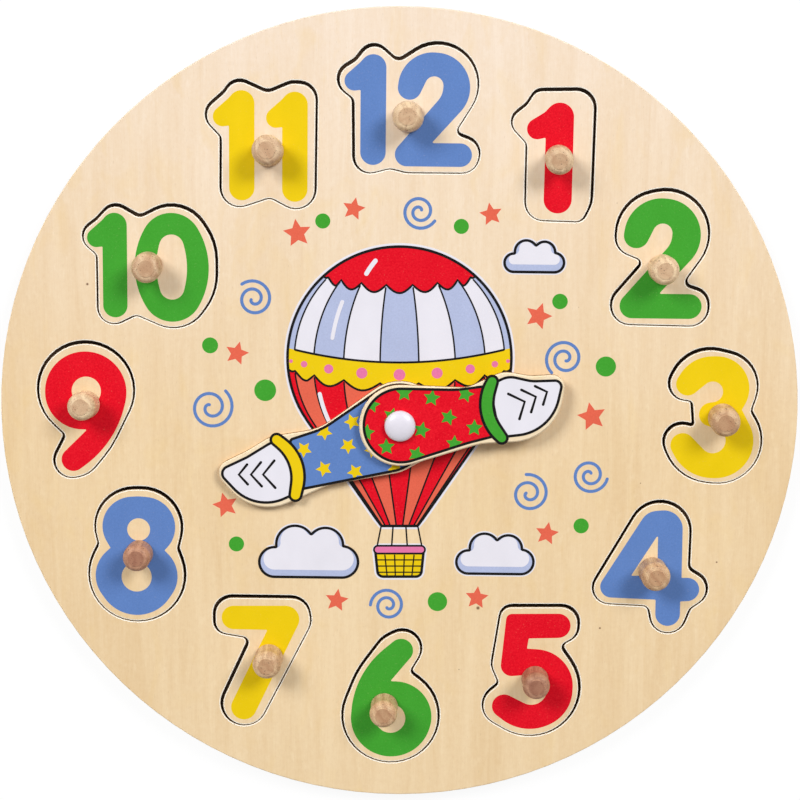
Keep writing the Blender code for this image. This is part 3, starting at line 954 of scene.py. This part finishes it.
def skin(share, level):
    """The point at a share of the half width, -1 to 1, on a line that sags in its middle."""
    wide = half_width(level)
    sag = SKIN_SAG * max(0, wide - MOUTH_WIDE) / (SKIN_RADIUS - MOUTH_WIDE)
    return (share * wide, level - sag * (1 - share * share))


def between(first, last, steps):
    return [first + (last - first) * step / steps for step in range(steps + 1)]


def patch(share_1, share_2, low, high, steps=16):
    """The outline of the skin between two shares and two levels."""
    levels = between(low, high, steps)
    shares = between(share_1, share_2, 4)
    return (
        [skin(share_2, level) for level in levels]
        + [skin(share, high) for share in shares[-2:0:-1]]
        + [skin(share_1, level) for level in levels[::-1]]
        + [skin(share, low) for share in shares[1:-1]])


def hem(level, deep, scallops):
    """A scalloped line across the whole skin, from its left rim to its right one."""
    line = []
    for around in between(0, 1, scallops * 10):
        x, y = skin(math.sin(math.pi * (around - 0.5)), level)
        near_rim = min(1, 3.2 * math.sin(math.pi * around) ** 2)
        line.append((x, y - deep * near_rim * abs(math.sin(math.pi * scallops * around))))
    return line


def grown(ring, spread):
    """Move a closed anticlockwise outline out by a spread."""
    result = []
    for index, (x, y) in enumerate(ring):
        (x0, y0), (x1, y1) = ring[index - 1], ring[(index + 1) % len(ring)]
        ahead = Vector((x1 - x0, y1 - y0)).normalized()
        result.append((x + ahead.y * spread, y - ahead.x * spread))
    return result


GORES = 9
SEAMS = [math.sin(math.pi * (seam / GORES - 0.5)) for seam in range(GORES + 1)]
right_rim = [
    skin(1, MOUTH_LEVEL + (SKIN_TOP - MOUTH_LEVEL) * math.sin(angle))
    for angle in between(0, math.pi / 2, 60)]
SKIN_RING = right_rim + [(-x, y) for x, y in right_rim[-2::-1]]
print("the skin tapers from", round(TAPER_LEVEL, 1), "mm")

# %% [markdown]
# The gores are lilac and white above, red and coral below. A yellow band with pink spots lies
# between them, and a red crown on top, both with a scalloped hem. A white coat goes on first and
# shows as a thin edge outside the black outline.

# %% Print the balloon
CROWN_LEVEL, BAND_HIGH, BAND_LOW = 51, 24, 16
LINE = 1.0


def on_board(name, rings, paint, coat, inside=None):
    return printed(name, rings, "board", BOARD_TOP, paint, coat, inside=inside)


def outline(name, shapes, coat, line=LINE):
    """A black line along the belt round each set of pins."""
    rings = [belt_round(pins, side * line / 2) for pins in shapes for side in (1, -1)]
    return on_board(name, rings, black, coat)


crown_hem = hem(CROWN_LEVEL, 3.0, GORES)
band_hem = hem(BAND_LOW, 3.2, GORES)
crown_rim = [point for point in right_rim if point[1] > CROWN_LEVEL + 0.3]
band_top = [skin(share, BAND_HIGH) for share in between(1, -1, 30)]
on_board("balloon_undercoat", [grown(SKIN_RING, 1.3)], white, 1)
on_board("balloon_lilac", [
    patch(SEAMS[gore], SEAMS[gore + 1], BAND_HIGH, CROWN_LEVEL)
    for gore in range(0, GORES, 2)], lilac, 2)
for name, first, paint in (("balloon_red", 0, red), ("balloon_coral", 1, coral)):
    on_board(name, [
        patch(SEAMS[gore], SEAMS[gore + 1], MOUTH_LEVEL, BAND_LOW, 30)
        for gore in range(first, GORES, 2)], paint, 2)
on_board("balloon_crown", [crown_hem + crown_rim + [(-x, y) for x, y in crown_rim[-2::-1]]], red, 3)
on_board("balloon_band", [band_hem + band_top], yellow, 3)
on_board("band_spots", [
    circle(*skin((left + right) / 2, BAND_LOW + 3.4), 2.1 * math.sqrt(1.05 - left * right), 28)
    for left, right in zip(SEAMS, SEAMS[1:])], pink, 4, [SKIN_RING])
print("gores:", 2 * GORES)

# %% [markdown]
# The black seams follow the skin too. Lines that cross lie on different coats, because two films
# at one height would fight for the same place. A few white strokes stand for the shine.

# %% Print the seams and the shine
SEAM_WIDE = 0.6
HEM_WIDE = 0.8
on_board("balloon_upright_seams", [
    stroke([skin(share, level) for level in between(low, high, 24)], SEAM_WIDE)
    for share in SEAMS[1:-1]
    for low, high in ((BAND_HIGH, CROWN_LEVEL - 1), (MOUTH_LEVEL, BAND_LOW - 1))], black, 4)
on_board("balloon_level_seams", [
    stroke(line, HEM_WIDE) for line in (crown_hem, band_hem, band_top[1:-1])],
    black, 5, [SKIN_RING])
on_board("balloon_outline", [grown(SKIN_RING, side * LINE / 2) for side in (1, -1)], black, 6)
on_board("balloon_shine", [
    stroke([skin(share, level) for level in between(low, high, 8)], wide)
    for share, low, high, wide in ((-0.5, 54, 58, 1.7), (-0.62, 31, 44, 1.5), (-0.74, -9, 9, 1.5))],
    white, 7)
print("prints so far:", len(prints))

# %% [markdown]
# The basket hangs on four ropes. Its weave is a few black strands and stakes over yellow, and a
# pink rail runs round its top. The white undercoat shows as a thin edge here too.

# %% Print the basket
ROPE_WIDE = 0.6
STRAND_WIDE = 0.5
RAIL_LINE = 0.7
BASKET = [(-6.2, -61.5, 2.2), (6.2, -61.5, 2.2), (7.6, -53.6, 1.6), (-7.6, -53.6, 1.6)]
RAIL = [(-8.2, -53.2, 1.5), (8.2, -53.2, 1.5)]
on_board("basket_undercoat", [belt_round(BASKET, 1.2)], white, 1)
on_board("basket_weave", [belt_round(BASKET)], yellow, 2)
on_board("basket_ropes", [
    stroke([(share * MOUTH_WIDE, MOUTH_LEVEL - 0.3), (share * 8.6, -52.4)], ROPE_WIDE)
    for share in (-1, -0.35, 0.35, 1)], black, 2)
on_board("basket_strands", [
    stroke([(side * (8.6 - 0.15 * row), -57.2 - 2.4 * row) for side in (-1, 1)], STRAND_WIDE)
    for row in range(3)], black, 3)
on_board("basket_stakes", [
    stroke([(share * 8.4, -55.4), (share * 7.2, -63.2)], STRAND_WIDE)
    for share in (-0.66, -0.22, 0.22, 0.66)], black, 4)
outline("basket_outline", [BASKET], 5)
on_board("basket_rail", [belt_round(RAIL)], pink, 6)
outline("basket_rail_outline", [RAIL], 7, RAIL_LINE)
print("prints so far:", len(prints))

# %% [markdown]
# ## The clouds
# A cloud is a belt round a row of puffs. Where two puffs meet on the upper side, a tiny hollow
# pin set just outside both of them pulls the line in to a sharp nick.

# %% Print the clouds
def puffs(x, y, size, circles):
    """Pins round a row of circles, the first two of them being the ends of the flat underside."""
    pins = []
    nick = 0.35
    for index, (cx, cy, r) in enumerate(circles):
        pins.append((x + cx * size, y + cy * size, r * size))
        nx, ny, nr = circles[(index + 1) % len(circles)]
        if index == 0:
            continue
        gap = Vector(((nx - cx) * size, (ny - cy) * size))
        reach_1, reach_2 = r * size + nick, nr * size + nick
        along = (reach_1 ** 2 - reach_2 ** 2 + gap.length ** 2) / (2 * gap.length)
        out = math.sqrt(reach_1 ** 2 - along ** 2)
        ahead = gap.normalized()
        pins.append((
            x + cx * size + ahead.x * along + ahead.y * out,
            y + cy * size + ahead.y * along - ahead.x * out, -nick * 0.97))
    return pins


PUFFS = ((-12, 0, 5.5), (12.5, 0, 5.8), (6.5, 6.2, 6.4), (-4.5, 6.6, 6.8))
CLOUDS = [puffs(-35, -58, 1.05, PUFFS), puffs(36, -58, 0.82, PUFFS), puffs(50, 56, 0.62, PUFFS)]
on_board("cloud_undercoat", [belt_round(pins, 1.0) for pins in CLOUDS], white, 1)
on_board("cloud_lilac", [belt_round(pins) for pins in CLOUDS], lilac, 2)
on_board("cloud_white", [belt_round(moved(pins, 0, 1.2), -1.6) for pins in CLOUDS], white, 3)
outline("cloud_outline", CLOUDS, 4)
print("prints so far:", len(prints))

# %% [markdown]
# ## The hands' prints
# Each hand is printed as a starry sleeve with a plain cuff and a white pointer. The shapes are
# drawn upright from the rivet, then turned with the hand. Stars that run over the edge of the
# sleeve, or over the rivet's hole, are cut off there: a Boolean keeps only what lies inside.

# %% Define the prints of a hand
HOLE_RADIUS = 3.2


def chevron(x, y, size, lean):
    """A bent line whose corner is at (x, y) and points up, leaning clockwise by some degrees."""
    turn = math.radians(-lean)
    corners = ((-size, -0.85 * size), (0, 0), (size, -0.85 * size))
    return [
        (x + cx * math.cos(turn) - cy * math.sin(turn),
         y + cx * math.sin(turn) + cy * math.cos(turn)) for cx, cy in corners]


def hand_prints(hand, points, surface, sleeve, cuff, pointer, chevrons, stars, cloth, ornament):
    def on_hand(name, rings, paint, coat, inside=None):
        return printed(
            f"{hand}_{name}", rings, f"{hand}_hand", surface, paint, coat, PIVOT.xy, points, inside)

    def edged(name, pins, paint, coat):
        on_hand(name, [belt_round(pins)], paint, coat)
        line = [belt_round(pins, side * LINE / 2) for side in (1, -1)]
        on_hand(name + "_line", line, black, coat + 1)

    printable = [belt_round(sleeve), circle(0, 0, HOLE_RADIUS)]
    on_hand("sleeve", printable, cloth, 1)
    on_hand("stars", [star(*place) for place in stars], ornament, 2, printable)
    on_hand("sleeve_line", [belt_round(sleeve, side * LINE / 2) for side in (1, -1)], black, 3)
    edged("pointer", pointer, white, 4)
    on_hand("chevrons", [stroke(chevron(*place), LINE) for place in chevrons], black, 5)
    edged("cuff", cuff, ornament, 6)
    print(hand, "hand:", len(stars), "stars")


# %% [markdown]
# The hour hand is red with green stars and a green cuff.

# %% Print the hour hand
hand_prints(
    "hour", HOUR_POINTS, HOUR_TOP,
    sleeve=[
        (0, 0.4, 13.9), (36.2, 27, -25.6), (9.0, 33.6, 1.0), (-8.2, 33.6, 1.0), (-46, 27.5, -36.5)],
    cuff=[(0.3, 49.1, 18.5), (11.1, 36.7, 2.1), (0.2, 50.6, -15.0), (-10.5, 36.7, 2.1)],
    pointer=[
        (-8.2, 37.0, 1.4), (9.4, 37.4, 1.4), (-5.8, 44.2, 17.0), (-4.4, 59.4, 2.4),
        (-21.6, 55.0, -14.0), (-3.2, 42.5, 7.8)],
    chevrons=((-0.9, 47.4, 5.2, -14), (-2.0, 51.8, 4.6, -14), (-3.1, 56.2, 3.8, -14)),
    stars=(
        (-7.5, 26.1, 3.3, 8), (5.6, 27.2, 3.3, -6), (0, 18.4, 3.3, 10), (10.2, 18.8, 3.3, -4),
        (-8.3, 13.5, 3.3, 0), (3, 7.7, 3.3, 6), (-11.9, 3.7, 3.3, -8), (11.7, 4.1, 3.3, 12),
        (7, -6.4, 3.3, -10), (-9.7, -9, 3.3, 4), (0.3, -12.8, 3.3, 0), (-4.2, -2.5, 3.3, 10)),
    cloth=red, ornament=green)

# %% [markdown]
# The minute hand is longer. It is blue with yellow stars and a yellow cuff.

# %% Print the minute hand
hand_prints(
    "minute", MINUTE_POINTS, MINUTE_TOP,
    sleeve=[
        (0.3, 0, 14.8), (29.5, 33, -23.6), (4.3, 40.3, 1.2), (-12.7, 41.5, 1.2), (-4.5, 5.5, 12.0)],
    cuff=[(-4.7, 57.3, 18.0), (6.8, 46.2, 2.2), (-4.6, 59.5, -15.2), (-15.4, 45.2, 2.2)],
    pointer=[
        (-13.2, 43.9, 1.4), (4.4, 43.6, 1.4), (-1.6, 47.8, 7.8), (19.7, 62.7, -16.8),
        (-0.9, 66.8, 2.8), (0.6, 52.3, 16.4)],
    chevrons=((-4.6, 54.8, 5.2, 14), (-3.4, 59.2, 4.6, 14), (-2.2, 63.6, 3.8, 14)),
    stars=(
        (0.5, 37.4, 3.2, 0), (-8.6, 32.1, 3.2, 10), (4.8, 28.2, 3.2, -8), (-12.9, 21.1, 3.2, 6),
        (-2.6, 21, 3.2, -4), (5.8, 17, 3.2, 12), (-15.5, 6, 3.2, 0), (-6.5, 12.5, 3.2, 8),
        (2.5, 7.5, 3.2, -10), (11.5, 6.5, 3.2, 4), (-9.5, -3.5, 3.2, 12), (4.5, -9.5, 3.2, -6)),
    cloth=blue, ornament=yellow)
print("prints:", len(prints))

# %% [markdown]
# ## Floor
# The board lies on a plain white floor. The floor glows a little for the camera and for
# reflections, so it stays white in the picture and still takes the object's shadow.

# %% Lay the floor
FLOOR_SIDE = 6
FLOOR_GAP = 0.1 * MM
FLOOR_WHITE = 0.86
GLOW_SHARE = 0.88
GLOW_LEVEL = 1.04


def floor_finish():
    material, inputs, _, _ = new_finish("floor_white")
    tree = material.node_tree
    inputs["Base Color"].default_value = (FLOOR_WHITE, FLOOR_WHITE, FLOOR_WHITE, 1)
    inputs["Roughness"].default_value = 0.9
    seen_by = background_rays(tree.nodes) * GLOW_SHARE
    glow = seen_by.add("ShaderNodeEmission", {}, {"Color": (1, 1, 1, 1), "Strength": GLOW_LEVEL})
    both = seen_by.add("ShaderNodeMixShader", {}, {
        0: seen_by, 1: Wire(tree.nodes["Principled BSDF"].outputs[0]), 2: glow})
    feed(both, tree.nodes["Material Output"].inputs["Surface"])
    return material


bpy.ops.object.select_all(action="DESELECT")
bpy.ops.mesh.primitive_plane_add(size=FLOOR_SIDE, location=(0, 0, cad_low.z - FLOOR_GAP))
floor = bpy.context.object
floor.name = "floor"
bpy.ops.object.transform_apply(location=True)
floor.data.materials.append(floor_finish())
floor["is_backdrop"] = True
print("floor at", round((cad_low.z - FLOOR_GAP) / MM, 2), "mm")

# %% Write the sizes and finish
low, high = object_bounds()
print("visual box in mm:", [round(side / MM, 2) for side in high - low])
